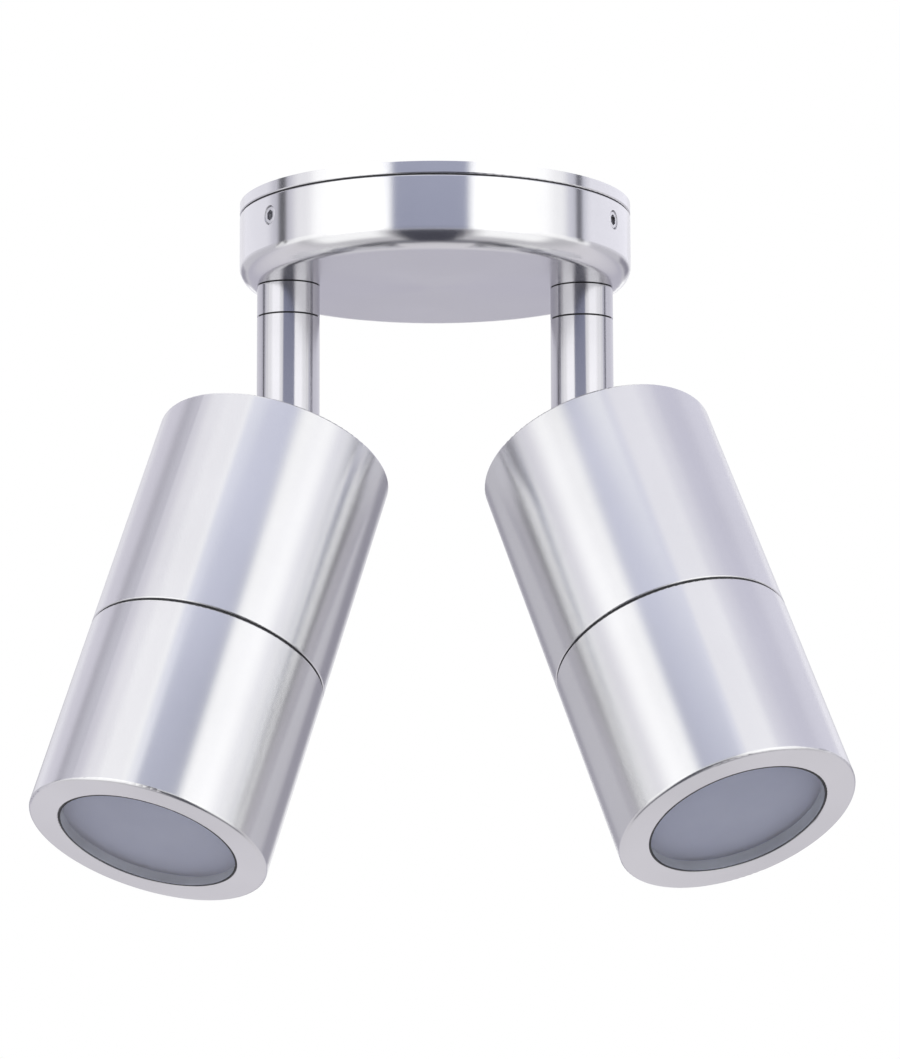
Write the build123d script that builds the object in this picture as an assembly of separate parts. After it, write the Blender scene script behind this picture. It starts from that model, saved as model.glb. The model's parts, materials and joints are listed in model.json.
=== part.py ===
from build123d import *

import os
from math import atan2, degrees

# Twin adjustable wall spotlight.
# Millimetres, +Z up, origin at the centre of the wall face of the back plate.
# The base is drawn uppermost and the two heads hang below it.

# Base
BASE_RADIUS = 50.0
PLATE_RIM_THICK = 3.0
SEAM_GAP = 0.4
SEAM_SETBACK = 0.6
CANOPY_HEIGHT = 17.8
CANOPY_WALL = 3.0
CANOPY_FACE_THICK = 3.0
CANOPY_EDGE_RADIUS = 5.0
EDGE_BREAK = 0.3
PLATE_RING_WALL = 4.0
PLATE_RING_CLEARANCE = 0.1
PLATE_RING_SEAT = 1.0
PLATE_RING_TO_CLIP = 0.6

# Wall fixing and cable entry
WALL_SCREW_SPACING = 60.0
WALL_SCREW_HOLE_RADIUS = 2.5
WALL_SEAL_INSET = 5.0
WALL_SEAL_WIDTH = 4.0
WALL_SEAL_DEPTH = 1.2
CABLE_BORE_RADIUS = 4.0
GROMMET_NECK_RADIUS = 6.0
GROMMET_FLANGE_RADIUS = 8.0
GROMMET_FLANGE_THICK = 2.0
GROMMET_TAIL = 5.0

# Canopy grub screws
GRUB_RADIUS = 2.4
GRUB_CLEARANCE = 0.05
GRUB_LENGTH = 6.2
GRUB_SETBACK = 0.2
GRUB_EDGE = 0.4
GRUB_HEIGHT_ABOVE_FACE = 12.7
GRUB_SOCKET_FLAT = 1.25
GRUB_SOCKET_DEPTH = 2.4
GRUB_AZIMUTHS = (-148.4, -28.4, 91.6)

# Terminals inside the canopy
TERMINAL_LENGTH = 28.0
TERMINAL_WIDTH = 13.0
TERMINAL_HEIGHT = 10.0
TERMINAL_OFFSET = 18.0
TERMINAL_PITCH = 8.5
TERMINAL_BORE = 1.7
TERMINAL_SCREW_RADIUS = 1.5
TERMINAL_SCREW_DEPTH = 3.0
TERMINAL_SCREW_SETBACK = 0.6
TERMINAL_SLOT_WIDTH = 0.6
TERMINAL_SLOT_DEPTH = 0.8
TERMINAL_SCREW_SPREAD = 3.2
EARTH_POSITION = (15.0, -16.0)
EARTH_SCREW_RADIUS = 2.0
EARTH_HEAD_RADIUS = 3.6
EARTH_HEAD_HEIGHT = 2.4
EARTH_SLOT_WIDTH = 1.0
EARTH_WASHER_RADIUS = 4.5
EARTH_WASHER_THICK = 0.8
EARTH_SCREW_REACH = 1.8

# Stems and their swivels
STEM_RADIUS = 8.0
COLLAR_HEIGHT = 8.0
COLLAR_SEAL_THICK = 0.2
COLLAR_SEAL_SETBACK = 0.4
COLLAR_NECK_INSET = 2.0
COLLAR_NECK_WALL = 2.0
COLLAR_NECK_CLEARANCE = 0.1
COLLAR_NECK_PROUD = 0.2
COLLAR_NUT_WALL = 1.2
COLLAR_NUT_HEIGHT = 3.0
COLLAR_NUT_CLEARANCE = 0.3
SWIVEL_GAP = 0.45
SWIVEL_WASHER_SETBACK = 0.5
RUNNING_CLEARANCE = 0.05
SPRING_WASHER_INSET = 0.2
SPRING_WASHER_THICK = 0.6
CLIP_INSET = 0.4
CLIP_THICK = 0.8
CLIP_GROOVE_DEPTH = 0.6
CLIP_GROOVE_CLEARANCE = 0.02
CLIP_MOUTH = 4.0
SPIGOT_LAND = 0.7
SPIGOT_WALL = 0.9
STOP_PIN_RADIUS = 1.0
STOP_PIN_REACH = 2.0
STOP_SLOT_CLEARANCE = 0.15
SWIVEL_HALF_RANGE = 90.0

# Knuckles
HEAD_SWING_CLEARANCE = 4.0
FORK_CHEEK = 4.8
FORK_END_CLEARANCE = 0.5
TONGUE_INSET = 3.0
SHANK_INSET = 2.5
KNUCKLE_WASHER_THICK = 0.3
KNUCKLE_WASHER_INSET = 0.3
LEAD_GROOVE_DEPTH = 1.2
LEAD_GROOVE_WIDTH = 2.8
BOLT_RADIUS = 2.0
BOLT_HEAD_RADIUS = 3.5
BOLT_HEAD_HEIGHT = 2.8
BOLT_HEAD_SINK = 0.6
BOLT_RECESS_CLEARANCE = 0.3
BOLT_SOCKET_FLAT = 1.5
BOLT_SOCKET_DEPTH = 1.6
BOLT_COVER = 2.0
LUG_SWING_CLEARANCE = 0.5
LUG_COLLAR_HEIGHT = 4.0
LUG_NECK_RADIUS = 5.0
LUG_NECK_CLEARANCE = 0.1
LUG_NECK_LENGTH = 10.0
LUG_NUT_FLAT = 7.0
LUG_NUT_HEIGHT = 4.0
LUG_SEAL_EDGE = 0.8
LUG_SEAL_WALL = 0.6
LUG_SEAL_THICK = 1.0

# Heads
HEAD_RADIUS = 30.0
REAR_LENGTH = 60.0
HEAD_SEAM = 0.6
HEAD_SEAM_SETBACK = 0.7
FRONT_LENGTH = 50.2
REAR_WALL_THICK = 5.0
REAR_EDGE_BREAK = 0.5
BARREL_WALL = 2.4
SCREW_SPIGOT_WALL = 2.5
SCREW_SPIGOT_LENGTH = 12.0
SCREW_CLEARANCE = 0.1
FRONT_EDGE_RADIUS = 0.8
FRONT_RIM_WIDTH = 7.5
LENS_LIP = 7.0
LENS_SINK = 0.15
LENS_SEAL_THICK = 0.5
LENS_SEAL_LIP = 0.5
LENS_SEAL_SINK = 0.1
LENS_SEAL_CLEARANCE = 0.1
LENS_THICK = 2.5
LENS_CLEARANCE = 0.3
RETAINER_THICK = 3.0
RETAINER_SETBACK = 1.8
RETAINER_SLOT_WIDTH = 3.0
RETAINER_SLOT_DEPTH = 1.5

# Lamp and lampholder
LAMP_CLEARANCE = 2.6
LAMP_RIM_HEIGHT = 4.0
LAMP_RIM_WALL = 2.0
LAMP_LENGTH = 53.0
LAMP_BASE_RADIUS = 9.0
LAMP_BASE_LENGTH = 14.0
LAMP_FACE_RECESS = 1.0
LAMP_SETBACK = 0.8
LAMP_PIN_RADIUS = 1.2
LAMP_PIN_LENGTH = 5.0
LAMP_PIN_SPACING = 10.0
HOLDER_RADIUS = 12.0
HOLDER_HEIGHT = 16.0
PIN_HOLE_CLEARANCE = 0.2
BRACKET_THICK = 1.5
BRACKET_WIDTH = 12.0
BRACKET_END_CLEARANCE = 3.0
STANDOFF_RADIUS = 3.2
STANDOFF_INSET = 7.0
BRACKET_SCREW_RADIUS = 1.5
BRACKET_SCREW_REACH = 6.0
BRACKET_HEAD_RADIUS = 2.8
BRACKET_HEAD_HEIGHT = 1.8
BRACKET_SLOT_WIDTH = 0.8

# How the two spotlights are set: side of the base, compass of the lean, tilt from hanging straight
SPOTS = {
    "left": {"side": -1, "lean": 229.6, "tilt": 25.2},
    "right": {"side": 1, "lean": -57.2, "tilt": 29.7},
}

# Radii and places that follow from the stem size
COLLAR_SEAL_RADIUS = STEM_RADIUS - COLLAR_SEAL_SETBACK
COLLAR_NECK_RADIUS = STEM_RADIUS - COLLAR_NECK_INSET
COLLAR_NUT_FLAT = COLLAR_NECK_RADIUS + COLLAR_NUT_WALL
SPIGOT_RADIUS = COLLAR_NECK_RADIUS - COLLAR_NECK_WALL
SWIVEL_WASHER_RADIUS = STEM_RADIUS - SWIVEL_WASHER_SETBACK
SPRING_WASHER_RADIUS = COLLAR_NECK_RADIUS - SPRING_WASHER_INSET
CLIP_RADIUS = COLLAR_NECK_RADIUS - CLIP_INSET
CLIP_GROOVE_RADIUS = SPIGOT_RADIUS - CLIP_GROOVE_DEPTH
LEAD_BORE_RADIUS = CLIP_GROOVE_RADIUS - SPIGOT_WALL
STOP_PIN_CIRCLE = (SPIGOT_RADIUS + STEM_RADIUS) / 2
FORK_SLOT_WIDTH = 2 * (STEM_RADIUS - FORK_CHEEK)
TONGUE_THICK = FORK_SLOT_WIDTH - 2 * KNUCKLE_WASHER_THICK
TONGUE_RADIUS = STEM_RADIUS - TONGUE_INSET
SHANK_HALF = TONGUE_RADIUS - SHANK_INSET
FORK_ROUND = TONGUE_RADIUS + FORK_END_CLEARANCE
FORK_MOUTH = SHANK_HALF + FORK_END_CLEARANCE
KNUCKLE_WASHER_RADIUS = TONGUE_RADIUS - KNUCKLE_WASHER_INSET
BOLT_SEAT = STEM_RADIUS - BOLT_HEAD_SINK - BOLT_HEAD_HEIGHT
BOLT_END = STEM_RADIUS - BOLT_COVER
LUG_TOP = STEM_RADIUS + LUG_SWING_CLEARANCE
LUG_SEAL_OUTER = STEM_RADIUS - LUG_SEAL_EDGE
LUG_SEAL_INNER = LUG_NECK_RADIUS + LUG_SEAL_WALL

# Radii and places that follow from the base and head sizes
STEM_OFFSET = BASE_RADIUS - CANOPY_EDGE_RADIUS - COLLAR_NUT_CLEARANCE - COLLAR_NUT_FLAT
PLATE_RING_RADIUS = BASE_RADIUS - CANOPY_WALL - PLATE_RING_CLEARANCE
PLATE_RING_INNER = PLATE_RING_RADIUS - PLATE_RING_WALL
WALL_SEAL_OUTER = BASE_RADIUS - WALL_SEAL_INSET
WALL_SEAL_INNER = WALL_SEAL_OUTER - WALL_SEAL_WIDTH
BARREL_BORE_RADIUS = HEAD_RADIUS - BARREL_WALL
SCREW_SPIGOT_RADIUS = BARREL_BORE_RADIUS - SCREW_CLEARANCE
REAR_BORE_RADIUS = SCREW_SPIGOT_RADIUS - SCREW_SPIGOT_WALL
LENS_RADIUS = BARREL_BORE_RADIUS - LENS_CLEARANCE
LENS_OPENING_RADIUS = HEAD_RADIUS - FRONT_RIM_WIDTH
LENS_BOSS_RADIUS = LENS_OPENING_RADIUS - LENS_SEAL_LIP
LENS_SEAL_INNER = LENS_BOSS_RADIUS + LENS_SEAL_CLEARANCE
RETAINER_INNER = LENS_OPENING_RADIUS + RETAINER_SETBACK
LAMP_RADIUS = BARREL_BORE_RADIUS - LAMP_CLEARANCE
LAMP_FACE_RADIUS = LAMP_RADIUS - LAMP_RIM_WALL
BRACKET_LENGTH = 2 * (REAR_BORE_RADIUS - BRACKET_END_CLEARANCE)
STANDOFF_OFFSET = REAR_BORE_RADIUS - STANDOFF_INSET

# Levels that follow from the sizes above
CANOPY_BACK = -(PLATE_RIM_THICK + SEAM_GAP)
CANOPY_FACE = CANOPY_BACK - CANOPY_HEIGHT
CANOPY_INSIDE = CANOPY_FACE + CANOPY_FACE_THICK
COLLAR_TOP = CANOPY_FACE - COLLAR_SEAL_THICK
COLLAR_END = CANOPY_FACE - COLLAR_HEIGHT
COLLAR_NECK_TOP = CANOPY_INSIDE + COLLAR_NUT_HEIGHT + COLLAR_NECK_PROUD
STEM_TOP = COLLAR_END - SWIVEL_GAP
CLIP_SEAT = COLLAR_NECK_TOP + SPRING_WASHER_THICK
SPIGOT_TOP = CLIP_SEAT + CLIP_THICK + SPIGOT_LAND
PLATE_RING_TOP = PLATE_RING_SEAT - PLATE_RIM_THICK
PLATE_RING_END = CLIP_SEAT + CLIP_THICK + PLATE_RING_TO_CLIP
PIVOT_LEVEL = CANOPY_FACE - HEAD_RADIUS - HEAD_SWING_CLEARANCE
TERMINAL_END = -PLATE_RIM_THICK - TERMINAL_HEIGHT

# Distances along a head from the middle of its knuckle
HEAD_REAR = LUG_TOP + LUG_COLLAR_HEIGHT
HEAD_REAR_INSIDE = HEAD_REAR + REAR_WALL_THICK
HEAD_SHOULDER = HEAD_REAR + REAR_LENGTH
BARREL_REAR = HEAD_SHOULDER + HEAD_SEAM
HEAD_FRONT = BARREL_REAR + FRONT_LENGTH
LENS_SEAT = HEAD_FRONT - LENS_LIP
LENS_FRONT = LENS_SEAT - LENS_SEAL_THICK
LENS_REAR = LENS_FRONT - LENS_THICK
RETAINER_REAR = LENS_REAR - RETAINER_THICK
LAMP_FRONT = RETAINER_REAR - LAMP_SETBACK
LAMP_BACK = LAMP_FRONT - LAMP_LENGTH
HOLDER_BACK = LAMP_BACK - HOLDER_HEIGHT
BRACKET_BACK = HOLDER_BACK - BRACKET_THICK

HALF_TURN = 180.0
HEX_SIDES = 6
MATCH = 0.1
THROUGH = 2 * BASE_RADIUS


def disc(radius, start, end):
    """Cylinder on the Z axis between two levels."""
    low = Align.CENTER, Align.CENTER, Align.MIN
    return Pos(0, 0, min(start, end)) * Cylinder(radius, abs(end - start), align=low)


def ring(outer, inner, start, end):
    """Plain ring on the Z axis between two levels."""
    return disc(outer, start, end) - disc(inner, start, end)


def hexagon(flat, start, end):
    """Hexagonal bar on the Z axis; flat is the distance from its axis to a flat."""
    outline = RegularPolygon(flat, HEX_SIDES, major_radius=False)
    return Pos(0, 0, min(start, end)) * extrude(outline, abs(end - start))


def block(width, depth, start, end):
    """Rectangular block centred on the Z axis between two levels."""
    low = Align.CENTER, Align.CENTER, Align.MIN
    return Pos(0, 0, min(start, end)) * Box(width, depth, abs(end - start), align=low)


def across(side):
    """Turns a shape from the Z axis to the Y axis, its +Z end towards the given side."""
    return Rot(-side * HALF_TURN / 2, 0, 0)


def rims(shape, radius, level):
    """Circular edges of the given radius at the given level."""
    return [
        edge
        for edge in shape.edges().filter_by(GeomType.CIRCLE)
        if abs(edge.radius - radius) < MATCH and abs(edge.center().Z - level) < MATCH
    ]


# Base pieces


def grub_places():
    """Places on the canopy side, +Z pointing outwards along each grub screw."""
    level = CANOPY_FACE + GRUB_HEIGHT_ABOVE_FACE
    return [Pos(0, 0, level) * Rot(0, 0, azimuth) * Rot(0, HALF_TURN / 2, 0) for azimuth in GRUB_AZIMUTHS]


def grub_holes():
    """Holes for the grub screws through canopy and plate ring."""
    start = PLATE_RING_INNER - GRUB_SETBACK
    end = BASE_RADIUS + GRUB_SETBACK
    return [place * disc(GRUB_RADIUS + GRUB_CLEARANCE, start, end) for place in grub_places()]


def stem_places():
    """Stem axes on the base."""
    return [Pos(spot["side"] * STEM_OFFSET, 0, 0) for spot in SPOTS.values()]


def wall_screw_places():
    """Wall screw axes on the base."""
    return [Pos(0, side * WALL_SCREW_SPACING / 2, 0) for side in (-1, 1)]


def back_plate():
    """Round plate that lies on the wall, grooved for the wall seal and the plate ring."""
    plate = disc(BASE_RADIUS, -PLATE_RIM_THICK, 0)
    plate = fillet(rims(plate, BASE_RADIUS, -PLATE_RIM_THICK), EDGE_BREAK)
    plate -= ring(PLATE_RING_RADIUS, PLATE_RING_INNER, -PLATE_RIM_THICK, PLATE_RING_TOP)
    plate -= ring(WALL_SEAL_OUTER, WALL_SEAL_INNER, -WALL_SEAL_DEPTH, 0)
    plate -= disc(GROMMET_NECK_RADIUS, -PLATE_RIM_THICK, 0)
    for place in wall_screw_places():
        plate -= place * disc(WALL_SCREW_HOLE_RADIUS, -PLATE_RIM_THICK, 0)
    return plate - earth_place() * earth_shank()


def plate_ring():
    """Ring pressed into the plate, which the canopy slides over."""
    body = ring(PLATE_RING_RADIUS, PLATE_RING_INNER, PLATE_RING_END, PLATE_RING_TOP)
    for hole in grub_holes():
        body -= hole
    return body


def wall_seal():
    """Foam ring let into the wall face of the plate."""
    return ring(WALL_SEAL_OUTER, WALL_SEAL_INNER, -WALL_SEAL_DEPTH, 0)


def canopy_seal():
    """Rubber ring that shows as the dark line between plate and canopy."""
    return ring(BASE_RADIUS - SEAM_SETBACK, PLATE_RING_RADIUS, CANOPY_BACK, -PLATE_RIM_THICK)


def canopy():
    """Round cup with a rounded front edge, bored for the collars and grub screws."""
    cup = disc(BASE_RADIUS, CANOPY_FACE, CANOPY_BACK)
    cup = fillet(rims(cup, BASE_RADIUS, CANOPY_FACE), CANOPY_EDGE_RADIUS)
    cup = fillet(rims(cup, BASE_RADIUS, CANOPY_BACK), EDGE_BREAK)
    hollow = disc(BASE_RADIUS - CANOPY_WALL, CANOPY_INSIDE, CANOPY_BACK)
    inner_round = CANOPY_EDGE_RADIUS - CANOPY_WALL
    cup -= fillet(rims(hollow, BASE_RADIUS - CANOPY_WALL, CANOPY_INSIDE), inner_round)
    for place in stem_places():
        cup -= place * disc(COLLAR_NECK_RADIUS + COLLAR_NECK_CLEARANCE, CANOPY_FACE, CANOPY_INSIDE)
    for hole in grub_holes():
        cup -= hole
    return cup


def canopy_screws():
    """Socketed grub screws that hold the canopy on the plate ring."""
    outer = BASE_RADIUS - GRUB_SETBACK
    screw = disc(GRUB_RADIUS, outer - GRUB_LENGTH, outer)
    screw = chamfer(rims(screw, GRUB_RADIUS, outer), GRUB_EDGE)
    screw -= hexagon(GRUB_SOCKET_FLAT, outer - GRUB_SOCKET_DEPTH, outer)
    return Compound([place * screw for place in grub_places()])


def cable_grommet():
    """Rubber grommet through the middle of the plate."""
    flange_end = -PLATE_RIM_THICK - GROMMET_FLANGE_THICK
    grommet = disc(GROMMET_NECK_RADIUS, flange_end - GROMMET_TAIL, 0)
    grommet += disc(GROMMET_FLANGE_RADIUS, flange_end, -PLATE_RIM_THICK)
    return grommet - disc(CABLE_BORE_RADIUS, flange_end - GROMMET_TAIL, 0)


def terminal_screw_places():
    """Two screws over each terminal way."""
    return [
        Pos(way * TERMINAL_PITCH, TERMINAL_OFFSET + row * TERMINAL_SCREW_SPREAD, TERMINAL_END)
        for way in (-1, 0, 1)
        for row in (-1, 1)
    ]


def terminal_block():
    """Three-way terminal block on the inner face of the plate."""
    body = block(TERMINAL_LENGTH, TERMINAL_WIDTH, TERMINAL_END, -PLATE_RIM_THICK)
    level = (TERMINAL_END - PLATE_RIM_THICK) / 2
    for way in (-1, 0, 1):
        bore = across(1) * disc(TERMINAL_BORE, -TERMINAL_WIDTH, TERMINAL_WIDTH)
        body -= Pos(way * TERMINAL_PITCH, 0, level) * bore
    body = Pos(0, TERMINAL_OFFSET, 0) * body
    for place in terminal_screw_places():
        body -= place * disc(TERMINAL_SCREW_RADIUS, 0, TERMINAL_SCREW_DEPTH)
    return body


def terminal_screws():
    """Slotted brass screws of the terminal block."""
    screw = disc(TERMINAL_SCREW_RADIUS, TERMINAL_SCREW_SETBACK, TERMINAL_SCREW_DEPTH)
    slot_end = TERMINAL_SCREW_SETBACK + TERMINAL_SLOT_DEPTH
    screw -= block(2 * TERMINAL_SCREW_RADIUS, TERMINAL_SLOT_WIDTH, TERMINAL_SCREW_SETBACK, slot_end)
    return Compound([place * screw for place in terminal_screw_places()])


def earth_place():
    """Axis of the earth screw."""
    return Pos(*EARTH_POSITION, 0)


def earth_shank():
    """Shank of the earth screw inside the plate."""
    return disc(EARTH_SCREW_RADIUS, -PLATE_RIM_THICK, EARTH_SCREW_REACH - PLATE_RIM_THICK)


def earth_screw():
    """Slotted earth screw with its washer."""
    washer_end = -PLATE_RIM_THICK - EARTH_WASHER_THICK
    head_end = washer_end - EARTH_HEAD_HEIGHT
    screw = disc(EARTH_HEAD_RADIUS, head_end, washer_end)
    screw += disc(EARTH_WASHER_RADIUS, washer_end, -PLATE_RIM_THICK)
    screw += earth_shank()
    screw -= block(2 * EARTH_HEAD_RADIUS, EARTH_SLOT_WIDTH, head_end, head_end + EARTH_SLOT_WIDTH)
    return earth_place() * screw


# Collar pieces, each built on the Z axis at the levels of the base


def collar(outward):
    """Fixed collar with a threaded neck and a curved slot for the stop pin."""
    body = disc(STEM_RADIUS, COLLAR_END, COLLAR_TOP)
    body += disc(COLLAR_NECK_RADIUS, COLLAR_TOP, COLLAR_NECK_TOP)
    body -= disc(SPIGOT_RADIUS + RUNNING_CLEARANCE, COLLAR_END, COLLAR_NECK_TOP)
    half_width = STOP_PIN_RADIUS + STOP_SLOT_CLEARANCE
    slot_sweep = 2 * (SWIVEL_HALF_RANGE + degrees(atan2(half_width, STOP_PIN_CIRCLE)))
    slot_depth = STOP_PIN_REACH + STOP_SLOT_CLEARANCE
    section = Plane.XZ * Pos(STOP_PIN_CIRCLE, COLLAR_END + slot_depth / 2)
    slot = revolve(section * Rectangle(2 * half_width, slot_depth), Axis.Z, slot_sweep)
    return body - Rot(0, 0, outward - slot_sweep / 2) * slot


def collar_seal():
    """Rubber ring that shows as the dark line between collar and canopy."""
    return ring(COLLAR_SEAL_RADIUS, COLLAR_NECK_RADIUS, COLLAR_TOP, CANOPY_FACE)


def collar_nut():
    """Nut on the collar neck inside the canopy, a flat towards the canopy wall."""
    nut = hexagon(COLLAR_NUT_FLAT, CANOPY_INSIDE, CANOPY_INSIDE + COLLAR_NUT_HEIGHT)
    nut = Rot(0, 0, HALF_TURN / HEX_SIDES) * nut
    return nut - disc(COLLAR_NECK_RADIUS, CANOPY_INSIDE, CANOPY_INSIDE + COLLAR_NUT_HEIGHT)


# Stem pieces, built with the knuckle at the origin and the lean towards +X


def stem_level(level):
    """A level of the base measured from the knuckle."""
    return level - PIVOT_LEVEL


def stop_pin_place():
    """Axis of the stop pin in the stem shoulder."""
    return Pos(STOP_PIN_CIRCLE, 0, stem_level(STEM_TOP))


def fork_slot():
    """Slot for the tongue: round at the knuckle, open below and, lower down, towards the lean."""
    low = Align.MIN, Align.CENTER, Align.MIN
    slot = across(1) * disc(FORK_ROUND, -FORK_SLOT_WIDTH / 2, FORK_SLOT_WIDTH / 2)
    slot += Pos(-FORK_ROUND, 0, -STEM_RADIUS) * Box(THROUGH, FORK_SLOT_WIDTH, STEM_RADIUS, align=low)
    return slot + Box(THROUGH, FORK_SLOT_WIDTH, FORK_MOUTH, align=low)


def stem(bolt_side):
    """Round stem: spigot above, swivel shoulder, plain rod and a fork below."""
    rounded_end = across(1) * disc(STEM_RADIUS, -STEM_RADIUS, STEM_RADIUS)
    rod = disc(STEM_RADIUS, 0, stem_level(STEM_TOP))
    rod += disc(STEM_RADIUS, -STEM_RADIUS, 0) & rounded_end
    rod += disc(SPIGOT_RADIUS, stem_level(STEM_TOP), stem_level(SPIGOT_TOP))
    rod -= fork_slot()
    rod -= disc(LEAD_BORE_RADIUS, 0, stem_level(SPIGOT_TOP))
    rod -= across(bolt_side) * disc(BOLT_RADIUS, -BOLT_END, STEM_RADIUS)
    rod -= across(bolt_side) * disc(BOLT_HEAD_RADIUS + BOLT_RECESS_CLEARANCE, BOLT_SEAT, STEM_RADIUS)
    groove_start = stem_level(CLIP_SEAT)
    rod -= ring(SPIGOT_RADIUS, CLIP_GROOVE_RADIUS, groove_start, groove_start + CLIP_THICK)
    return rod - stop_pin_place() * disc(STOP_PIN_RADIUS, -STOP_PIN_REACH, 0)


def stop_pin():
    """Pin standing in the collar slot, which ends the swivel both ways."""
    return stop_pin_place() * disc(STOP_PIN_RADIUS, -STOP_PIN_REACH, SWIVEL_GAP + STOP_PIN_REACH)


def swivel_washer():
    """Friction washer that shows as the dark line under the collar."""
    start = stem_level(STEM_TOP)
    washer = ring(SWIVEL_WASHER_RADIUS, SPIGOT_RADIUS, start, stem_level(COLLAR_END))
    return washer - stop_pin_place() * disc(STOP_PIN_RADIUS, 0, SWIVEL_GAP)


def spring_washer():
    """Washer that loads the swivel, between collar neck and clip."""
    return ring(SPRING_WASHER_RADIUS, SPIGOT_RADIUS, stem_level(COLLAR_NECK_TOP), stem_level(CLIP_SEAT))


def stem_clip():
    """Open clip in the spigot groove."""
    start = stem_level(CLIP_SEAT)
    clip = ring(CLIP_RADIUS, CLIP_GROOVE_RADIUS + CLIP_GROOVE_CLEARANCE, start, start + CLIP_THICK)
    return clip - Pos(CLIP_RADIUS, 0, 0) * block(2 * CLIP_RADIUS, CLIP_MOUTH, start, start + CLIP_THICK)


def knuckle_bolt(bolt_side):
    """Socket-head bolt through the fork, its head sunk in one cheek and its end in the other."""
    top = BOLT_SEAT + BOLT_HEAD_HEIGHT
    bolt = disc(BOLT_RADIUS, -BOLT_END, BOLT_SEAT) + disc(BOLT_HEAD_RADIUS, BOLT_SEAT, top)
    return across(bolt_side) * (bolt - hexagon(BOLT_SOCKET_FLAT, top - BOLT_SOCKET_DEPTH, top))


def knuckle_washers():
    """Friction washers between the fork cheeks and the tongue."""
    washer = ring(KNUCKLE_WASHER_RADIUS, BOLT_RADIUS, TONGUE_THICK / 2, FORK_SLOT_WIDTH / 2)
    return Compound([across(side) * washer for side in (-1, 1)])


# Head pieces, built with the knuckle at the origin and the head hanging along -Z


def tongue(thick, inset=0):
    """Flat tongue on a narrower shank, rounded about the bolt, its edge moved in by an inset."""
    head = across(1) * disc(TONGUE_RADIUS - inset, -thick / 2, thick / 2)
    return head + block(2 * (SHANK_HALF - inset), thick, -LUG_TOP, 0)


def lug():
    """Tongue with a groove for the leads, on a collar and a neck that hold it in the rear housing."""
    channel_end = -LUG_TOP - LEAD_GROOVE_WIDTH
    neck_end = -HEAD_REAR - LUG_NECK_LENGTH
    body = tongue(TONGUE_THICK)
    body -= tongue(LEAD_GROOVE_WIDTH) - tongue(LEAD_GROOVE_WIDTH, LEAD_GROOVE_DEPTH)
    body -= across(1) * disc(BOLT_RADIUS + RUNNING_CLEARANCE, -STEM_RADIUS, STEM_RADIUS)
    body += disc(STEM_RADIUS, -HEAD_REAR, -LUG_TOP)
    body += disc(LUG_NECK_RADIUS, neck_end, -HEAD_REAR)
    body -= block(2 * SHANK_HALF, LEAD_GROOVE_WIDTH, channel_end, -LUG_TOP)
    body -= disc(LEAD_BORE_RADIUS, neck_end, channel_end)
    return body - ring(LUG_SEAL_OUTER, LUG_SEAL_INNER, -HEAD_REAR, -HEAD_REAR + LUG_SEAL_THICK)


def lug_seal():
    """Rubber ring between lug collar and rear housing."""
    return ring(LUG_SEAL_OUTER, LUG_SEAL_INNER, -HEAD_REAR, -HEAD_REAR + LUG_SEAL_THICK)


def lug_nut():
    """Nut on the lug neck inside the rear housing."""
    end = HEAD_REAR_INSIDE + LUG_NUT_HEIGHT
    return hexagon(LUG_NUT_FLAT, -end, -HEAD_REAR_INSIDE) - disc(LUG_NECK_RADIUS, -end, -HEAD_REAR_INSIDE)


def rear_housing():
    """Closed tube with a screw spigot for the front barrel."""
    tube = disc(HEAD_RADIUS, -HEAD_SHOULDER, -HEAD_REAR)
    tube = fillet(rims(tube, HEAD_RADIUS, -HEAD_REAR), REAR_EDGE_BREAK)
    tube = fillet(rims(tube, HEAD_RADIUS, -HEAD_SHOULDER), EDGE_BREAK)
    spigot_end = -HEAD_SHOULDER - SCREW_SPIGOT_LENGTH
    tube += disc(SCREW_SPIGOT_RADIUS, spigot_end, -HEAD_SHOULDER)
    tube -= disc(REAR_BORE_RADIUS, spigot_end, -HEAD_REAR_INSIDE)
    return tube - disc(LUG_NECK_RADIUS + LUG_NECK_CLEARANCE, -HEAD_REAR_INSIDE, -HEAD_REAR)


def front_barrel():
    """Front tube with an inner lip that frames the lens."""
    tube = disc(HEAD_RADIUS, -HEAD_FRONT, -BARREL_REAR)
    tube = fillet(rims(tube, HEAD_RADIUS, -HEAD_FRONT), FRONT_EDGE_RADIUS)
    tube = fillet(rims(tube, HEAD_RADIUS, -BARREL_REAR), EDGE_BREAK)
    tube -= disc(BARREL_BORE_RADIUS, -LENS_SEAT, -BARREL_REAR)
    tube -= disc(LENS_OPENING_RADIUS, -HEAD_FRONT, -LENS_SEAT)
    return fillet(rims(tube, LENS_OPENING_RADIUS, -HEAD_FRONT), EDGE_BREAK)


def barrel_seal():
    """Rubber ring on the barrel that shows as the dark seam around the head."""
    return ring(HEAD_RADIUS - HEAD_SEAM_SETBACK, BARREL_BORE_RADIUS, -BARREL_REAR, -HEAD_SHOULDER)


def lens_seal():
    """Rubber ring between barrel lip and lens, its own lip showing as a thin dark edge."""
    seat = ring(LENS_RADIUS, LENS_SEAL_INNER, -LENS_SEAT, -LENS_FRONT)
    return seat + ring(LENS_OPENING_RADIUS, LENS_SEAL_INNER, LENS_SEAL_SINK - HEAD_FRONT, -LENS_SEAT)


def lens():
    """Glass disc with a raised middle that all but fills the opening, frosted behind."""
    middle = disc(LENS_BOSS_RADIUS, LENS_SINK - HEAD_FRONT, -LENS_FRONT)
    return middle + disc(LENS_RADIUS, -LENS_FRONT, -LENS_REAR)


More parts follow.
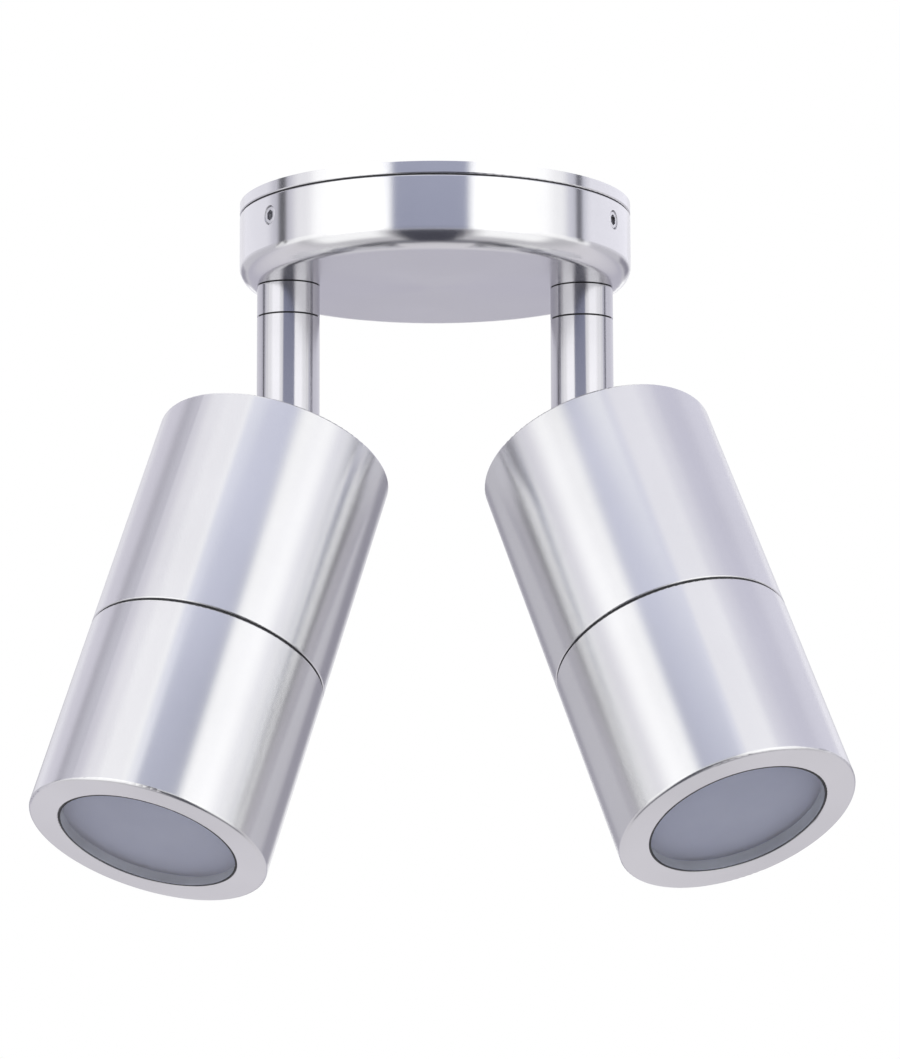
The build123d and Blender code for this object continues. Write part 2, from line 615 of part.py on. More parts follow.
def lens_retainer():
    """Threaded ring behind the lens, with two slots for a key."""
    body = ring(BARREL_BORE_RADIUS, RETAINER_INNER, -LENS_REAR, -RETAINER_REAR)
    slot_end = -RETAINER_REAR - RETAINER_SLOT_DEPTH
    return body - block(2 * HEAD_RADIUS, RETAINER_SLOT_WIDTH, slot_end, -RETAINER_REAR)


def lamp_pin_places():
    """Axes of the two lamp pins."""
    return [Pos(side * LAMP_PIN_SPACING / 2, 0, 0) for side in (-1, 1)]


def lamp():
    """Reflector lamp: rim, tapered bowl, base and two pins."""
    bowl_end = LAMP_FRONT - LAMP_RIM_HEIGHT
    base_end = LAMP_BACK + LAMP_BASE_LENGTH
    bowl = loft([Pos(0, 0, -bowl_end) * Circle(LAMP_RADIUS), Pos(0, 0, -base_end) * Circle(LAMP_BASE_RADIUS)])
    body = disc(LAMP_RADIUS, -LAMP_FRONT, -bowl_end) + bowl
    body += disc(LAMP_BASE_RADIUS, -base_end, -LAMP_BACK)
    body -= disc(LAMP_FACE_RADIUS, -LAMP_FRONT, -LAMP_FRONT + LAMP_FACE_RECESS)
    for place in lamp_pin_places():
        body += place * disc(LAMP_PIN_RADIUS, -LAMP_BACK, -LAMP_BACK + LAMP_PIN_LENGTH)
    return body


def lampholder():
    """Ceramic holder that takes the lamp pins."""
    body = disc(HOLDER_RADIUS, -LAMP_BACK, -HOLDER_BACK)
    for place in lamp_pin_places():
        hole = disc(LAMP_PIN_RADIUS + PIN_HOLE_CLEARANCE, -LAMP_BACK, -LAMP_BACK + LAMP_PIN_LENGTH)
        body -= place * hole
    return body


def standoff_places():
    """Axes of the bracket stand-offs."""
    return [Pos(side * STANDOFF_OFFSET, 0, 0) for side in (-1, 1)]


def lampholder_bracket():
    """Flat strip across the stand-offs that carries the lampholder."""
    strip = block(BRACKET_LENGTH, BRACKET_WIDTH, -HOLDER_BACK, -BRACKET_BACK)
    for place in standoff_places():
        strip -= place * disc(BRACKET_SCREW_RADIUS, -HOLDER_BACK, -BRACKET_BACK)
    return strip - disc(LEAD_BORE_RADIUS, -HOLDER_BACK, -BRACKET_BACK)


def bracket_standoffs():
    """Pillars between rear wall and bracket."""
    pillar = disc(STANDOFF_RADIUS, -BRACKET_BACK, -HEAD_REAR_INSIDE)
    pillar -= disc(BRACKET_SCREW_RADIUS, -BRACKET_BACK, -BRACKET_BACK + BRACKET_SCREW_REACH)
    return Compound([place * pillar for place in standoff_places()])


def bracket_screws():
    """Slotted screws through the bracket into the stand-offs."""
    head_end = -HOLDER_BACK - BRACKET_HEAD_HEIGHT
    screw = disc(BRACKET_HEAD_RADIUS, head_end, -HOLDER_BACK)
    screw += disc(BRACKET_SCREW_RADIUS, -HOLDER_BACK, -BRACKET_BACK + BRACKET_SCREW_REACH)
    screw -= block(2 * BRACKET_HEAD_RADIUS, BRACKET_SLOT_WIDTH, head_end, head_end + BRACKET_SLOT_WIDTH)
    return Compound([place * screw for place in standoff_places()])


# Assembly


def place_spot(name, spot):
    """Every piece of one spotlight, set on the base at its lean and tilt."""
    bolt_side = spot["side"]
    axis = Pos(spot["side"] * STEM_OFFSET, 0, 0)
    outward = 0 if spot["side"] > 0 else HALF_TURN
    knuckle = axis * Pos(0, 0, PIVOT_LEVEL) * Rot(0, 0, spot["lean"])
    head = knuckle * Rot(0, -spot["tilt"], 0)
    base_pieces = {
        "collar": collar(outward),
        "collar_seal": collar_seal(),
        "collar_nut": collar_nut(),
    }
    stem_pieces = {
        "stem": stem(bolt_side),
        "stop_pin": stop_pin(),
        "swivel_washer": swivel_washer(),
        "spring_washer": spring_washer(),
        "stem_clip": stem_clip(),
        "knuckle_bolt": knuckle_bolt(bolt_side),
        "knuckle_washers": knuckle_washers(),
    }
    head_pieces = {
        "lug": lug(),
        "lug_seal": lug_seal(),
        "lug_nut": lug_nut(),
        "rear_housing": rear_housing(),
        "front_barrel": front_barrel(),
        "barrel_seal": barrel_seal(),
        "lens_seal": lens_seal(),
        "lens": lens(),
        "lens_retainer": lens_retainer(),
        "lamp": lamp(),
        "lampholder": lampholder(),
        "lampholder_bracket": lampholder_bracket(),
        "bracket_standoffs": bracket_standoffs(),
        "bracket_screws": bracket_screws(),
    }
    placed = {}
    for frame, pieces in ((axis, base_pieces), (knuckle, stem_pieces), (head, head_pieces)):
        for piece, shape in pieces.items():
            placed[f"{name}_{piece}"] = frame * shape
    return placed


def assembly():
    """All nodes by name."""
    nodes = {
        "back_plate": back_plate(),
        "plate_ring": plate_ring(),
        "wall_seal": wall_seal(),
        "canopy_seal": canopy_seal(),
        "canopy": canopy(),
        "canopy_screws": canopy_screws(),
        "cable_grommet": cable_grommet(),
        "terminal_block": terminal_block(),
        "terminal_screws": terminal_screws(),
        "earth_screw": earth_screw(),
    }
    for name, spot in SPOTS.items():
        nodes.update(place_spot(name, spot))
    return nodes


os.makedirs("parts", exist_ok=True)
for node, shape in assembly().items():
    export_step(shape, f"parts/{node}.step")
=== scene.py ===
import json
from math import cos, radians, sin

import bpy
from mathutils import Matrix, Vector

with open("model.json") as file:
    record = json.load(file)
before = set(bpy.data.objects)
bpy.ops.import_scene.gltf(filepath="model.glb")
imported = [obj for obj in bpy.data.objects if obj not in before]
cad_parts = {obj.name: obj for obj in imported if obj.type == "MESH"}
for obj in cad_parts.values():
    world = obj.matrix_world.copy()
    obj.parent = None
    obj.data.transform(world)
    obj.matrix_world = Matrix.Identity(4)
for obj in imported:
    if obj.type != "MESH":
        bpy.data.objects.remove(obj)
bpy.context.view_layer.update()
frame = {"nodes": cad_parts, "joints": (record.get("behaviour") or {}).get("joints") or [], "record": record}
nodes = frame["nodes"]
joints = {joint["name"]: joint for joint in frame["joints"]}

# Camera, fitted to the photograph
CAMERA_PLACE = Vector((-0.047571, -1.13742, -0.263556))
CAMERA_YAW = radians(2.578)
CAMERA_PITCH = radians(8.972)
CAMERA_ROLL = radians(-0.131)
CAMERA_REACH = 100.0
SENSOR_MM = 36.0
LENS_MM = 154.48

# Floor, in metres
FLOOR_LEVEL = -0.75
FLOOR_SIZE = 16.0
FLOOR_DARK = (0.82, 0.82, 0.83)
FLOOR_LIGHT = (0.86, 0.86, 0.87)
FLOOR_ROUGHNESS = 0.8
FLOOR_CLOUD_SCALE = 3.0
FLOOR_CLOUD_DETAIL = 3.0
# How far out the camera sees it begin to turn white, and where it is all white
FLOOR_FADE_START = 1.0
FLOOR_FADE_END = 6.0
# Its painted light and shade as metal reflects it, a glow by how far back it lies: darker in front, lightest
# just behind, darker far back
FLOOR_PAINTED_SHADES = {
    -0.2: (0.6, 0.59, 0.62),
    0.15: (0.77, 0.75, 0.79),
    0.6: (0.79, 0.77, 0.82),
    2.4: (0.53, 0.515, 0.595),
}

# World and lights: levels, metres, watts; a light's place is its compass and height in degrees
WORLD_WHITE = (1, 1, 1, 1)
WORLD_SEEN_LEVEL = 1.0
WORLD_LIGHT_LEVEL = 0.6
LIGHT_DISTANCE = 2.0
LIGHT_SIZE = 1.2
SOFT_LIGHTS = {
    "left soft light": {"compass": -55, "height": 30, "power": 18},
    "right soft light": {"compass": 50, "height": 25, "power": 14},
}

# Distances of the studio panels, in metres
TENT = 4.4
FAR = 4.0
MIDDLE = 0.9
NEAR = 0.64
OPENING = 0.32
# How much nearer each panel is than the one listed before it, as a share of its distance
PANEL_SPACING = 0.002
# Squares along each side of a panel
PANEL_STEPS = 24
# Colours that several panels share
SOFT_WHITE = (1.2, 1.2, 1.2)
BOX_WHITE = (1.32, 1.32, 1.32)
SPOT_WHITE = (1.68, 1.68, 1.68)
HORIZON_GREY = (0.62, 0.61, 0.66)

# Soft boxes, walls and grey panels round the object, seen in its metal only:
# compass from the camera side and height in degrees, colour, soft edge in degrees, distance
PANELS = {
    "tent": ((-180, 180), (-6, 90), SOFT_WHITE, 1, TENT),
    "left wall": ((-172, -58), (8, 56), (0.76, 0.74, 0.83), 12, FAR),
    "right wall": ((48, 166), (12, 66), (0.71, 0.7, 0.82), 12, FAR),
    "right far wall": ((104, 172), (14, 46), (0.8, 0.79, 0.9), 12, FAR),
    "left back": ((-186, -106), (-4, 22), (0.95, 0.94, 1.01), 8, FAR),
    "right back": ((92, 186), (2, 22), (1.01, 1.0, 1.08), 8, FAR),
    "back": ((150, 210), (-4, 28), (0.87, 0.86, 0.91), 9, FAR),
    "left soft box": ((-84, -30), (-8, 42), BOX_WHITE, 10, FAR),
    "right soft box": ((20, 75), (-8, 42), BOX_WHITE, 11, FAR),
    "left hot spot": ((-70, -24), (-10, 24), SPOT_WHITE, 13, FAR),
    "right hot spot": ((14, 59), (-10, 22), SPOT_WHITE, 13, FAR),
    "left ceiling": ((-96, -30), (41, 80), (0.97, 0.96, 1.02), 9, FAR),
    "right ceiling": ((-8, 92), (50, 90), (0.87, 0.86, 0.96), 10, FAR),
    "left shade": ((-119, -88), (0, 46), (0.67, 0.66, 0.74), 9, FAR),
    "right shade": ((76, 102), (0, 30), (0.7, 0.7, 0.79), 8, FAR),
    "left strip": ((-108, -98), (0, 24), (0.07, 0.07, 0.08), 3, FAR),
    "left high strip": ((-123, -111), (22, 48), (0.32, 0.31, 0.36), 5, FAR),
    "right strip": ((87, 94), (0, 28), (0.06, 0.06, 0.08), 2, FAR),
    "left horizon": ((-172, -104), (-12, 10), HORIZON_GREY, 4, FAR),
    "right horizon": ((96, 164), (-12, 10), HORIZON_GREY, 4, FAR),
    "left far dark": ((-172, -152), (-8, 8), (0.36, 0.35, 0.41), 5, FAR),
    "right far dark": ((132, 160), (-8, 8), (0.29, 0.28, 0.34), 5, FAR),
    "left low box": ((-84, -26), (-48, 0), SOFT_WHITE, 14, MIDDLE),
    "right low box": ((16, 74), (-48, 0), SOFT_WHITE, 14, MIDDLE),
    "below": ((-90, 80), (-90, -58), (0.2, 0.2, 0.23), 12, NEAR),
    "camera": ((-32, 22), (-82, -3), (0.07, 0.07, 0.09), 12, NEAR),
    "opening above": ((-37, 22), (12, 47), (0.78, 0.8, 0.96), 5, OPENING),
    "opening": ((-28, 18), (-10, 19), (0.35, 0.37, 0.49), 5, OPENING),
}

# Noise levels at which a mottled colour is darkest and lightest
TINT_LOW = 0.3
TINT_HIGH = 0.7

# Lathe marks on turned metal: rings packed along the axis, and a faint cloudiness
RING_STRETCH = (60, 60, 9000)
RING_SCALE = 1.0
RING_DETAIL = 3.0
RING_BUMP = 0.02
RING_DEPTH = 0.00005
CLOUD_SCALE = 38.0
CLOUD_DETAIL = 4.0
MARK_STRENGTH = 0.85

# Turned metals: two tints and the least and greatest roughness
BASE_METAL = {"dark": (0.75, 0.75, 0.76), "light": (0.79, 0.79, 0.8), "roughness": (0.14, 0.2)}
HEAD_METAL = {"dark": (0.735, 0.735, 0.745), "light": (0.765, 0.765, 0.775), "roughness": (0.2, 0.27)}
# Painted shade: the stems' tints are darker than the heads', in place of the dimmer reflections along them
SHADED_STEM_METAL = {"dark": (0.525, 0.52, 0.55), "light": (0.575, 0.57, 0.6), "roughness": (0.14, 0.2)}

# Grain of the plain surfaces: rubber, plastic, ceramic and small metal pieces
MOTTLE_DETAIL = 5.0
GRAIN_DETAIL = 3.0
GRAIN_FINENESS = 12
GRAIN_DEPTH = 0.0001

# Their looks, by the material slot of the pieces
SOLIDS = {
    "stainless_steel": {
        "dark": (0.66, 0.66, 0.68),
        "light": (0.76, 0.76, 0.78),
        "roughness": (0.22, 0.34),
        "scale": 420.0,
        "grain": 0.06,
        "metallic": 1.0,
    },
    "black_rubber": {
        "dark": (0.03, 0.03, 0.033),
        "light": (0.05, 0.05, 0.054),
        "roughness": (0.6, 0.8),
        "scale": 500.0,
        "grain": 0.2,
    },
    "black_nylon": {
        "dark": (0.014, 0.014, 0.016),
        "light": (0.032, 0.032, 0.035),
        "roughness": (0.4, 0.55),
        "scale": 600.0,
        "grain": 0.1,
    },
    "white_plastic": {
        "dark": (0.74, 0.74, 0.71),
        "light": (0.82, 0.82, 0.79),
        "roughness": (0.35, 0.5),
        "scale": 300.0,
        "grain": 0.08,
    },
    "white_ceramic": {
        "dark": (0.78, 0.77, 0.73),
        "light": (0.86, 0.85, 0.82),
        "roughness": (0.3, 0.45),
        "scale": 260.0,
        "grain": 0.1,
    },
    "brass": {
        "dark": (0.62, 0.44, 0.17),
        "light": (0.76, 0.58, 0.28),
        "roughness": (0.2, 0.34),
        "scale": 400.0,
        "grain": 0.08,
        "metallic": 1.0,
    },
    "lamp_body": {
        "dark": (0.7, 0.7, 0.71),
        "light": (0.8, 0.8, 0.81),
        "roughness": (0.12, 0.22),
        "scale": 240.0,
        "grain": 0.05,
    },
}

# Lens: depths behind its face where the clear face and the wall of its step end; the wall's darker grey is
# painted shade
LENS_FACE_DEPTH = 0.0003
LENS_WALL_DEPTH = 0.0072
LENS_CLEAR = (0.95, 0.98, 0.97, 1)
# Painted shade: the step's wall is tinted darker than the frost, in place of the shade under the lens's lip
LENS_WALL_SHADE_DARK = (0.48, 0.5, 0.54)
LENS_WALL_SHADE_LIGHT = (0.74, 0.77, 0.8)
LENS_FROST_DARK = (0.7, 0.73, 0.93)
LENS_FROST_LIGHT = (0.76, 0.79, 0.98)
LENS_FROST_ROUGHNESS = 0.6
LENS_FACE_ROUGHNESS = 0.06
LENS_MOTTLE_SCALE = 60.0
LENS_MOTTLE_DETAIL = 4.0
LENS_ETCH_SCALE = 2600.0
LENS_ETCH_DETAIL = 2.0
LENS_BUMP = 0.03
LENS_BUMP_DEPTH = 0.00005
GLASS_IOR = 1.5

# Pieces by side, and those that share a head's or a stem's own metal
SIDES = ("left", "right")
HEAD_PIECES = ("rear_housing", "front_barrel", "lug", "lens_retainer")
STEM_PIECES = ("stem", "collar")

UP = Vector((0, 0, 1))
ORIGIN = Vector((0, 0, 0))
EVEN = (1, 1, 1)


# Shader helpers


def new_material(name):
    """A fresh node material and its Principled shader."""
    material = bpy.data.materials.new(name)
    material.use_nodes = True
    return material, material.node_tree.nodes["Principled BSDF"]


def add_node(tree, kind, **settings):
    """A node with the given properties and input values."""
    node = tree.nodes.new(kind)
    for key, value in settings.items():
        if key in node.inputs:
            node.inputs[key].default_value = value
        else:
            setattr(node, key, value)
    return node


def connect(tree, value, socket):
    """Feed an input from an output, or set it to a plain value."""
    if isinstance(value, bpy.types.NodeSocket):
        tree.links.new(value, socket)
    else:
        socket.default_value = value


def calculate(tree, operation, first, second):
    """Result of one operation on two numbers."""
    node = add_node(tree, "ShaderNodeMath", operation=operation)
    connect(tree, first, node.inputs[0])
    connect(tree, second, node.inputs[1])
    return node.outputs["Value"]


def calculate_vector(tree, operation, first, second):
    """Result of one operation on two vectors."""
    node = add_node(tree, "ShaderNodeVectorMath", operation=operation)
    connect(tree, first, node.inputs[0])
    connect(tree, second, node.inputs[1])
    return node.outputs["Vector"]


def mix_colours(tree, factor, first, second):
    """Colour between two colours."""
    node = add_node(tree, "ShaderNodeMix", data_type="RGBA")
    connect(tree, factor, node.inputs["Factor"])
    connect(tree, first, node.inputs["A"])
    connect(tree, second, node.inputs["B"])
    return node.outputs["Result"]


def mix_shaders(tree, factor, first, second):
    """Shader between two shaders."""
    node = add_node(tree, "ShaderNodeMixShader")
    tree.links.new(factor, node.inputs["Fac"])
    tree.links.new(first, node.inputs[1])
    tree.links.new(second, node.inputs[2])
    return node.outputs["Shader"]


def parts_of(tree, vector):
    """X, Y and Z outputs of a vector."""
    split = add_node(tree, "ShaderNodeSeparateXYZ")
    tree.links.new(vector, split.inputs["Vector"])
    return split.outputs


def place_coordinates(tree, centre, axis, stretch=EVEN):
    """Object coordinates with Z along a turning axis, stretched by three factors."""
    source = add_node(tree, "ShaderNodeTexCoord")
    turn = axis.to_track_quat("Z", "Y").to_euler()
    local = add_node(tree, "ShaderNodeMapping", vector_type="TEXTURE", Location=centre, Rotation=turn)
    scaled = add_node(tree, "ShaderNodeMapping", Scale=stretch)
    tree.links.new(source.outputs["Object"], local.inputs["Vector"])
    tree.links.new(local.outputs["Vector"], scaled.inputs["Vector"])
    return scaled.outputs["Vector"]


def noise(tree, coordinates, scale, detail):
    """Noise value read at some coordinates."""
    texture = add_node(tree, "ShaderNodeTexNoise", Scale=scale, Detail=detail)
    tree.links.new(coordinates, texture.inputs["Vector"])
    return texture.outputs["Fac"]


def tint(tree, factor, dark, light):
    """Colour between two tints."""
    ramp = add_node(tree, "ShaderNodeValToRGB")
    low, high = ramp.color_ramp.elements
    low.position = TINT_LOW
    high.position = TINT_HIGH
    low.color = (*dark, 1)
    high.color = (*light, 1)
    tree.links.new(factor, ramp.inputs["Fac"])
    return ramp.outputs["Color"]


def spread(tree, factor, low, high):
    """Value from 0 to 1 moved to a range."""
    mapped = add_node(tree, "ShaderNodeMapRange", **{"To Min": low, "To Max": high})
    tree.links.new(factor, mapped.inputs["Value"])
    return mapped.outputs["Result"]


def ease(tree, value, start, end):
    """Value that rises smoothly from 0 at the start to 1 at the end."""
    node = add_node(tree, "ShaderNodeMapRange", interpolation_type="SMOOTHSTEP")
    node.inputs["From Min"].default_value = start
    node.inputs["From Max"].default_value = end
    tree.links.new(value, node.inputs["Value"])
    return node.outputs["Result"]


def bump(tree, height, strength, distance):
    """Normal bent by a height."""
    node = add_node(tree, "ShaderNodeBump", Strength=strength, Distance=distance)
    tree.links.new(height, node.inputs["Height"])
    return node.outputs["Normal"]


# Materials


def across_marks(tree, centre, axis):
    """Direction at right angles to the lathe marks round an axis, on any face."""
    source = add_node(tree, "ShaderNodeTexCoord")
    arm = calculate_vector(tree, "SUBTRACT", source.outputs["Object"], centre)
    marks = calculate_vector(tree, "CROSS_PRODUCT", axis, arm)
    turned = add_node(tree, "ShaderNodeVectorTransform", convert_from="OBJECT", convert_to="WORLD")
    tree.links.new(marks, turned.inputs["Vector"])
    surface = add_node(tree, "ShaderNodeNewGeometry")
    return calculate_vector(tree, "CROSS_PRODUCT", surface.outputs["Normal"], turned.outputs["Vector"])


def turned_metal(name, dark, light, roughness, centre=ORIGIN, axis=UP):
    """Metal with fine lathe rings round an axis, which draw its reflections out, and a faint cloudiness."""
    material, shader = new_material(name)
    tree = material.node_tree
    rings = noise(tree, place_coordinates(tree, centre, axis, RING_STRETCH), RING_SCALE, RING_DETAIL)
    clouds = noise(tree, place_coordinates(tree, centre, axis), CLOUD_SCALE, CLOUD_DETAIL)
    tree.links.new(tint(tree, clouds, dark, light), shader.inputs["Base Color"])
    tree.links.new(spread(tree, rings, *roughness), shader.inputs["Roughness"])
    tree.links.new(bump(tree, rings, RING_BUMP, RING_DEPTH), shader.inputs["Normal"])
    tree.links.new(across_marks(tree, centre, axis), shader.inputs["Tangent"])
    shader.inputs["Anisotropic"].default_value = MARK_STRENGTH
    shader.inputs["Metallic"].default_value = 1.0
    return material


def plain_solid(name, dark, light, roughness, scale, grain, metallic=0.0):
    """Surface with a mottled colour and a fine grain: rubber, plastic, ceramic or a small metal piece."""
    material, shader = new_material(name)
    tree = material.node_tree
    mottle = noise(tree, place_coordinates(tree, ORIGIN, UP), scale, MOTTLE_DETAIL)
    fine = noise(tree, place_coordinates(tree, ORIGIN, UP), scale * GRAIN_FINENESS, GRAIN_DETAIL)
    tree.links.new(tint(tree, mottle, dark, light), shader.inputs["Base Color"])
    tree.links.new(spread(tree, fine, *roughness), shader.inputs["Roughness"])
    tree.links.new(bump(tree, fine, grain, GRAIN_DEPTH), shader.inputs["Normal"])
    shader.inputs["Metallic"].default_value = metallic
    return material


def head_axis(side):
    """A point on the axis of one head, and the axis's direction."""
    joint = joints[f"{side}_front_unscrew"]
    return Vector(joint["pos_m"]), Vector(joint["axis"])


def lens_glass(side):
    """Glass that is clear on its face, painted a darker grey as shade round its step, and frosted behind."""
    centre, axis = head_axis(side)
    face = max((vertex.co - centre).dot(axis) for vertex in nodes[f"{side}_lens"].data.vertices)
    material, shader = new_material(f"lens glass {side}")
    tree = material.node_tree
    local = place_coordinates(tree, centre, axis)
    along = parts_of(tree, local)["Z"]
    on_face = calculate(tree, "GREATER_THAN", along, face - LENS_FACE_DEPTH)
    on_shaded_wall = calculate(tree, "GREATER_THAN", along, face - LENS_WALL_DEPTH)
    mottle = noise(tree, local, LENS_MOTTLE_SCALE, LENS_MOTTLE_DETAIL)
    etch = noise(tree, local, LENS_ETCH_SCALE, LENS_ETCH_DETAIL)
    frost = tint(tree, mottle, LENS_FROST_DARK, LENS_FROST_LIGHT)
    # painted shade on the wall round the step
    wall = tint(tree, mottle, LENS_WALL_SHADE_DARK, LENS_WALL_SHADE_LIGHT)
    behind = mix_colours(tree, on_shaded_wall, frost, wall)
    tree.links.new(mix_colours(tree, on_face, behind, LENS_CLEAR), shader.inputs["Base Color"])
    smooth = spread(tree, on_face, LENS_FROST_ROUGHNESS, LENS_FACE_ROUGHNESS)
    tree.links.new(smooth, shader.inputs["Roughness"])
    tree.links.new(on_face, shader.inputs["Transmission Weight"])
    tree.links.new(bump(tree, etch, LENS_BUMP, LENS_BUMP_DEPTH), shader.inputs["Normal"])
    shader.inputs["IOR"].default_value = GLASS_IOR
    return material


def head_metal(side):
    """Satin metal with its rings round one head's own axis."""
    centre, axis = head_axis(side)
    return turned_metal(f"satin head {side}", **HEAD_METAL, centre=centre, axis=axis)


def shaded_stem_metal(side):
    """Satin metal with its rings round one stem's axis, its tints painted darker as shade."""
    centre = Vector(joints[f"{side}_swivel"]["pos_m"])
    return turned_metal(f"satin stem {side}", **SHADED_STEM_METAL, centre=centre)


def slot_materials():
    """Material of each slot, for the pieces with none of their own."""
    materials = {"satin_aluminium": turned_metal("polished base", **BASE_METAL)}
    for slot, look in SOLIDS.items():
        materials[slot] = plain_solid(slot.replace("_", " "), **look)
    return materials


def own_materials():
    """Materials of the lenses and of the pieces turned round a head's or a stem's axis, by node."""
    materials = {}
    for side in SIDES:
        materials[f"{side}_lens"] = lens_glass(side)
        head = head_metal(side)
        for piece in HEAD_PIECES:
            materials[f"{side}_{piece}"] = head
        # its darker tints are painted shade
        stem = shaded_stem_metal(side)
        for piece in STEM_PIECES:
            materials[f"{side}_{piece}"] = stem
    return materials


def dress_nodes():
    """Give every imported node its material."""
    by_slot = slot_materials()
    by_node = own_materials()
    for subpart in frame["record"]["subparts"]:
        node = subpart["node"]
        mesh = nodes[node].data
        mesh.materials.clear()
        mesh.materials.append(by_node.get(node) or by_slot[subpart["material_slot"]])


# Studio and camera


def direction(compass, height):
    """Unit vector; compass 0 is towards the camera side and grows to the right."""
    turn = radians(compass)
    rise = radians(height)
    return Vector((sin(turn) * cos(rise), -cos(turn) * cos(rise), sin(rise)))


def edge_fade(tree, share, soft):
    """Value that is 0 at the two edges of a panel and 1 inside its soft margin."""
    from_other_edge = calculate(tree, "SUBTRACT", 1.0, share)
    nearest = calculate(tree, "MINIMUM", share, from_other_edge)
    return ease(tree, nearest, 0.0, soft)


def panel_material(name, colour, soft_across, soft_up):
    """Glowing grey that fades out towards the edges of its panel."""
    material = bpy.data.materials.new(name)
    material.use_nodes = True
    tree = material.node_tree
    tree.nodes.clear()
    share = parts_of(tree, add_node(tree, "ShaderNodeUVMap").outputs["UV"])
    across = edge_fade(tree, share["X"], soft_across)
    up = edge_fade(tree, share["Y"], soft_up)
    clear = add_node(tree, "ShaderNodeBsdfTransparent")
    glow = add_node(tree, "ShaderNodeEmission", Color=(*colour, 1))
    mask = calculate(tree, "MULTIPLY", across, up)
    mixed = mix_shaders(tree, mask, clear.outputs["BSDF"], glow.outputs["Emission"])
    output = add_node(tree, "ShaderNodeOutputMaterial")
    tree.links.new(mixed, output.inputs["Surface"])
    return material


def panel_mesh(name, compass, height, distance):
    """Curved sheet of squares round the origin, with its shares across and up as UVs."""
    row = PANEL_STEPS + 1
    shares = [step / PANEL_STEPS for step in range(row)]
    corners = [(across, up) for up in shares for across in shares]
    points = []
    for across, up in corners:
        point_compass = compass[0] + across * (compass[1] - compass[0])
        point_height = height[0] + up * (height[1] - height[0])
        points.append(direction(point_compass, point_height) * distance)
    faces = []
    for line in range(PANEL_STEPS):
        for step in range(PANEL_STEPS):
            first = line * row + step
            faces.append((first, first + 1, first + row + 1, first + row))
    mesh = bpy.data.meshes.new(name)
    mesh.from_pydata(points, [], faces)
    layer = mesh.uv_layers.new(name="panel")
    for loop in mesh.loops:
        layer.data[loop.index].uv = corners[loop.vertex_index]
    return mesh


def add_panel(name, compass, height, colour, soft, distance):
    """Curved grey panel of the studio, seen only in reflections."""
    mesh = panel_mesh(name, compass, height, distance)
    soft_across = soft / (compass[1] - compass[0])
    soft_up = soft / (height[1] - height[0])
    mesh.materials.append(panel_material(name, colour, soft_across, soft_up))
    panel = bpy.data.objects.new(name, mesh)
    bpy.context.scene.collection.objects.link(panel)
    panel.visible_camera = False
    panel.visible_diffuse = False
    panel.visible_shadow = False
    panel.visible_transmission = False


def add_panels():
    """All the panels, from the outermost in."""
    for index, (name, panel) in enumerate(PANELS.items()):
        compass, height, colour, soft, distance = panel
        nearer = distance * (1 - PANEL_SPACING * index)
        add_panel(name, compass, height, colour, soft, nearer)


def painted_floor_shades(tree, back):
    """Painted light and shade of the floor as metal reflects it, by how far back it lies."""
    first = min(FLOOR_PAINTED_SHADES)
    last = max(FLOOR_PAINTED_SHADES)
    share = add_node(tree, "ShaderNodeMapRange", **{"From Min": first, "From Max": last})
    tree.links.new(back, share.inputs["Value"])
    ramp = add_node(tree, "ShaderNodeValToRGB")
    stops = ramp.color_ramp.elements
    while len(stops) < len(FLOOR_PAINTED_SHADES):
        stops.new(1.0)
    for stop, (place, colour) in zip(stops, sorted(FLOOR_PAINTED_SHADES.items())):
        stop.position = (place - first) / (last - first)
        stop.color = (*colour, 1)
    tree.links.new(share.outputs["Result"], ramp.inputs["Fac"])
    return ramp.outputs["Color"]


def floor_fade(tree, place):
    """Value that rises from 0 to 1 with the distance from the middle of the floor."""
    out = add_node(tree, "ShaderNodeVectorMath", operation="LENGTH")
    tree.links.new(place, out.inputs[0])
    return ease(tree, out.outputs["Value"], FLOOR_FADE_START, FLOOR_FADE_END)


def floor_material():
    """Pale floor that the camera sees fade to white and metal sees as a glow of painted light and shade;
    from below it is clear.
    """
    material, shader = new_material("floor")
    tree = material.node_tree
    ray = add_node(tree, "ShaderNodeLightPath").outputs
    place = add_node(tree, "ShaderNodeTexCoord").outputs["Object"]
    clouds = noise(tree, place, FLOOR_CLOUD_SCALE, FLOOR_CLOUD_DETAIL)
    tree.links.new(tint(tree, clouds, FLOOR_DARK, FLOOR_LIGHT), shader.inputs["Base Color"])
    shader.inputs["Roughness"].default_value = FLOOR_ROUGHNESS
    far_out = calculate(tree, "MULTIPLY", floor_fade(tree, place), ray["Is Camera Ray"])
    white = add_node(tree, "ShaderNodeEmission")
    faded = mix_shaders(tree, far_out, shader.outputs["BSDF"], white.outputs["Emission"])
    # painted light and shade: metal sees the floor as this glow instead of its lit surface
    glow = add_node(tree, "ShaderNodeEmission")
    tree.links.new(painted_floor_shades(tree, parts_of(tree, place)["Y"]), glow.inputs["Color"])
    shaded = mix_shaders(tree, ray["Is Glossy Ray"], faded, glow.outputs["Emission"])
    underside = add_node(tree, "ShaderNodeNewGeometry").outputs["Backfacing"]
    from_below = calculate(tree, "MULTIPLY", underside, ray["Is Camera Ray"])
    clear = add_node(tree, "ShaderNodeBsdfTransparent")
    finished = mix_shaders(tree, from_below, shaded, clear.outputs["BSDF"])
    tree.links.new(finished, tree.nodes["Material Output"].inputs["Surface"])
    return material


def add_floor():
    """Plain pale floor."""
    bpy.ops.mesh.primitive_plane_add(size=FLOOR_SIZE, location=(0, 0, FLOOR_LEVEL))
    floor = bpy.context.object
    floor.name = "floor"
    floor.data.materials.append(floor_material())


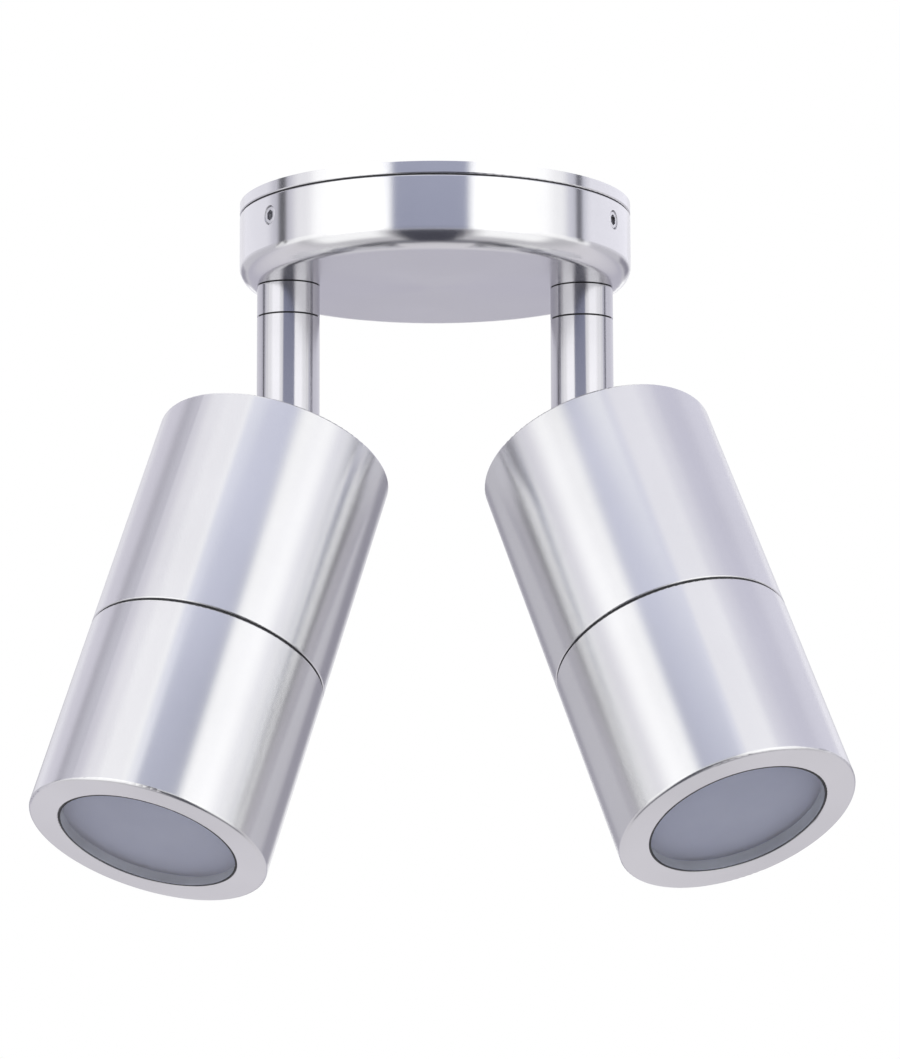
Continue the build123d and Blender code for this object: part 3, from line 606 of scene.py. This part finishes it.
def add_world():
    """White studio: white to the camera and in reflections, softer as a light."""
    world = bpy.data.worlds.new("studio")
    bpy.context.scene.world = world
    world.use_nodes = True
    tree = world.node_tree
    ray = add_node(tree, "ShaderNodeLightPath").outputs
    seen = calculate(tree, "MAXIMUM", ray["Is Camera Ray"], ray["Is Glossy Ray"])
    seen = calculate(tree, "MAXIMUM", seen, ray["Is Transmission Ray"])
    background = tree.nodes["Background"]
    background.inputs["Color"].default_value = WORLD_WHITE
    tree.links.new(spread(tree, seen, WORLD_LIGHT_LEVEL, WORLD_SEEN_LEVEL), background.inputs["Strength"])


def add_soft_light(name, compass, height, power):
    """Large soft light aimed at the middle of the object, left out of reflections."""
    light = bpy.data.lights.new(name, "AREA")
    light.size = LIGHT_SIZE
    light.energy = power
    lamp = bpy.data.objects.new(name, light)
    bpy.context.scene.collection.objects.link(lamp)
    lamp.location = direction(compass, height) * LIGHT_DISTANCE
    lamp.rotation_euler = (-lamp.location).to_track_quat("-Z", "Y").to_euler()
    lamp.visible_glossy = False


def add_camera():
    """Camera at the photograph's viewpoint."""
    level_forward = Vector((sin(CAMERA_YAW), cos(CAMERA_YAW), 0))
    level_right = Vector((cos(CAMERA_YAW), -sin(CAMERA_YAW), 0))
    forward = cos(CAMERA_PITCH) * level_forward + sin(CAMERA_PITCH) * UP
    level_up = level_right.cross(forward)
    right = cos(CAMERA_ROLL) * level_right + sin(CAMERA_ROLL) * level_up
    up = -sin(CAMERA_ROLL) * level_right + cos(CAMERA_ROLL) * level_up
    data = bpy.data.cameras.new("photo view")
    data.sensor_width = SENSOR_MM
    data.lens = LENS_MM
    data.clip_end = CAMERA_REACH
    camera = bpy.data.objects.new("photo view", data)
    bpy.context.scene.collection.objects.link(camera)
    turn = Matrix((right, up, -forward)).transposed()
    camera.matrix_world = Matrix.Translation(CAMERA_PLACE) @ turn.to_4x4()
    bpy.context.scene.camera = camera


dress_nodes()
add_panels()
add_floor()
add_world()
for name, settings in SOFT_LIGHTS.items():
    add_soft_light(name, **settings)
add_camera()
bpy.context.scene.view_settings.view_transform = "Standard"
